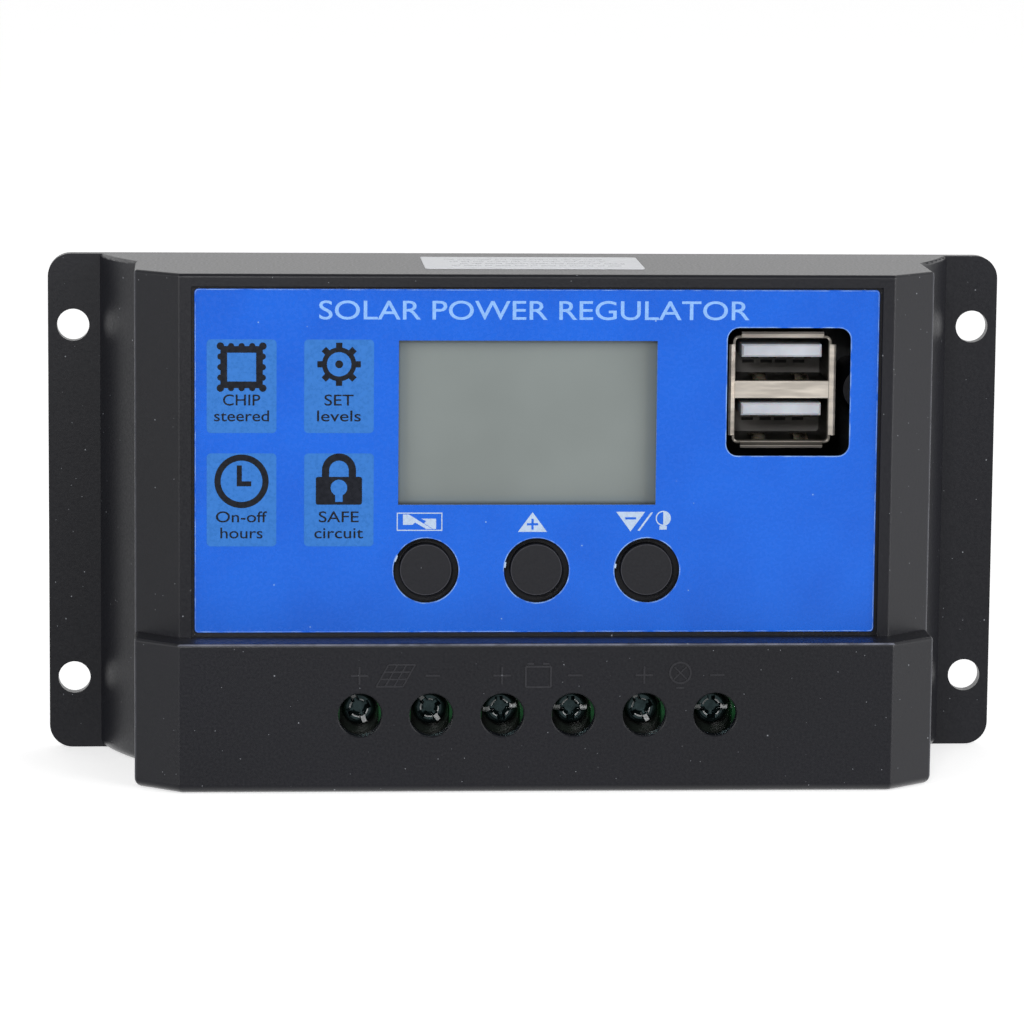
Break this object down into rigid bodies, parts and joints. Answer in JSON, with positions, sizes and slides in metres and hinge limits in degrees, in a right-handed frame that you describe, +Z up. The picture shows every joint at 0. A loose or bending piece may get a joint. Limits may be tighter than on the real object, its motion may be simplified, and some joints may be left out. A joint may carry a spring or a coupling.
{
  "type": "solar charge controller",
  "caption": "Wall-mounted solar charge controller: black flanged case, recessed display, twin USB socket, push buttons and a row of screw terminals.",
  "frame": {"origin": "centre of the four mounting holes, in the wall plane that the back of the case lies in", "axes": "+Z up the wall, -Y out of the front face, +X to the right as seen from the front"},
  "size_m": [0.1334, 0.035, 0.0701],
  "materials": {
    "case_abs": "semi-matte moulded ABS",
    "label_film": "printed polycarbonate film",
    "paper_label": "white vinyl sticker",
    "plate_aluminium": "satin sheet",
    "zinc_steel": "zinc plated",
    "board_laminate": "solder-masked laminate",
    "lcd_glass": "polarised display glass",
    "light_guide": "moulded light guide",
    "tinned_copper": "tin plated",
    "button_abs": "satin moulded ABS",
    "switch_nylon": "moulded nylon",
    "usb_steel": "nickel plated, warm",
    "insulator_pbt": "moulded PBT",
    "tongue_pbt": "pale moulded PBT",
    "gold_contact": "gold flashed",
    "terminal_nylon": "green moulded nylon",
    "nickel_steel": "nickel plated",
    "pad_silicone": "filled silicone",
    "epoxy_black": "moulded epoxy",
    "can_aluminium": "sleeved can",
    "ferrite": "sintered ferrite",
    "enamelled_copper": "enamelled copper wire",
    "shunt_alloy": "resistance alloy",
    "chip_ceramic": "glazed ceramic"
  },
  "bodies": {
    "case": {"front_shell": "case_abs", "front_label": "label_film", "rating_label": "paper_label", "back_plate": "plate_aluminium", "back_screws": "zinc_steel", "main_board": "board_laminate", "board_screws": "zinc_steel", "lcd_glass": "lcd_glass", "lcd_backlight": "light_guide", "lcd_pins": "tinned_copper", "switch_base_1": "switch_nylon", "switch_base_2": "switch_nylon", "switch_base_3": "switch_nylon", "switch_legs": "tinned_copper", "usb_shell": "usb_steel", "usb_insulator": "insulator_pbt", "usb_tongues": "tongue_pbt", "usb_contacts": "gold_contact", "terminal_housing": "terminal_nylon", "terminal_bars": "tinned_copper", "thermal_pad": "pad_silicone", "transistor_tabs": "tinned_copper", "transistor_bodies": "epoxy_black", "transistor_legs": "tinned_copper", "capacitors": "can_aluminium", "inductor_core": "ferrite", "inductor_winding": "enamelled_copper", "microcontroller": "epoxy_black", "driver_chips": "epoxy_black", "diodes": "epoxy_black", "shunt_strip": "shunt_alloy", "chip_resistors": "chip_ceramic"},
    "button_1": {"button_cap_1": "button_abs", "switch_plunger_1": "switch_nylon"},
    "button_2": {"button_cap_2": "button_abs", "switch_plunger_2": "switch_nylon"},
    "button_3": {"button_cap_3": "button_abs", "switch_plunger_3": "switch_nylon"},
    "screw_1": {"terminal_screw_1": "nickel_steel"},
    "screw_2": {"terminal_screw_2": "nickel_steel"},
    "screw_3": {"terminal_screw_3": "nickel_steel"},
    "screw_4": {"terminal_screw_4": "nickel_steel"},
    "screw_5": {"terminal_screw_5": "nickel_steel"},
    "screw_6": {"terminal_screw_6": "nickel_steel"},
    "clamp_1": {"terminal_clamp_1": "nickel_steel"},
    "clamp_2": {"terminal_clamp_2": "nickel_steel"},
    "clamp_3": {"terminal_clamp_3": "nickel_steel"},
    "clamp_4": {"terminal_clamp_4": "nickel_steel"},
    "clamp_5": {"terminal_clamp_5": "nickel_steel"},
    "clamp_6": {"terminal_clamp_6": "nickel_steel"}
  },
  "joints": [
    {"name": "button_1_press", "type": "slide", "parent": "case", "child": "button_1", "axis": [0, 1, 0], "range_m": [0, 0.0003], "stiffness_N_per_m": 4000, "springref_m": -0.0002},
    {"name": "button_2_press", "type": "slide", "parent": "case", "child": "button_2", "axis": [0, 1, 0], "range_m": [0, 0.0003], "stiffness_N_per_m": 4000, "springref_m": -0.0002},
    {"name": "button_3_press", "type": "slide", "parent": "case", "child": "button_3", "axis": [0, 1, 0], "range_m": [0, 0.0003], "stiffness_N_per_m": 4000, "springref_m": -0.0002},
    {"name": "screw_1_turn", "type": "hinge", "parent": "case", "child": "screw_1", "pos_m": [-0.02403, -0.025, -0.0243], "axis": [0, 1, 0], "range_deg": [0, 1800.5]},
    {"name": "screw_2_turn", "type": "hinge", "parent": "case", "child": "screw_2", "pos_m": [-0.01439, -0.025, -0.0243], "axis": [0, 1, 0], "range_deg": [0, 1800.5]},
    {"name": "screw_3_turn", "type": "hinge", "parent": "case", "child": "screw_3", "pos_m": [-0.00475, -0.025, -0.0243], "axis": [0, 1, 0], "range_deg": [0, 1800.5]},
    {"name": "screw_4_turn", "type": "hinge", "parent": "case", "child": "screw_4", "pos_m": [0.00489, -0.025, -0.0243], "axis": [0, 1, 0], "range_deg": [0, 1800.5]},
    {"name": "screw_5_turn", "type": "hinge", "parent": "case", "child": "screw_5", "pos_m": [0.01453, -0.025, -0.0243], "axis": [0, 1, 0], "range_deg": [0, 1800.5]},
    {"name": "screw_6_turn", "type": "hinge", "parent": "case", "child": "screw_6", "pos_m": [0.02417, -0.025, -0.0243], "axis": [0, 1, 0], "range_deg": [0, 1800.5]},
    {"name": "clamp_1_lift", "type": "slide", "parent": "case", "child": "clamp_1", "axis": [0, -1, 0], "range_m": [0, 0.003]},
    {"name": "clamp_2_lift", "type": "slide", "parent": "case", "child": "clamp_2", "axis": [0, -1, 0], "range_m": [0, 0.003]},
    {"name": "clamp_3_lift", "type": "slide", "parent": "case", "child": "clamp_3", "axis": [0, -1, 0], "range_m": [0, 0.003]},
    {"name": "clamp_4_lift", "type": "slide", "parent": "case", "child": "clamp_4", "axis": [0, -1, 0], "range_m": [0, 0.003]},
    {"name": "clamp_5_lift", "type": "slide", "parent": "case", "child": "clamp_5", "axis": [0, -1, 0], "range_m": [0, 0.003]},
    {"name": "clamp_6_lift", "type": "slide", "parent": "case", "child": "clamp_6", "axis": [0, -1, 0], "range_m": [0, 0.003]}
  ],
  "couplings": [
    {"joint": "screw_1_turn", "follows": "clamp_1_lift", "rad_per_m": 10472},
    {"joint": "screw_2_turn", "follows": "clamp_2_lift", "rad_per_m": 10472},
    {"joint": "screw_3_turn", "follows": "clamp_3_lift", "rad_per_m": 10472},
    {"joint": "screw_4_turn", "follows": "clamp_4_lift", "rad_per_m": 10472},
    {"joint": "screw_5_turn", "follows": "clamp_5_lift", "rad_per_m": 10472},
    {"joint": "screw_6_turn", "follows": "clamp_6_lift", "rad_per_m": 10472}
  ]
}
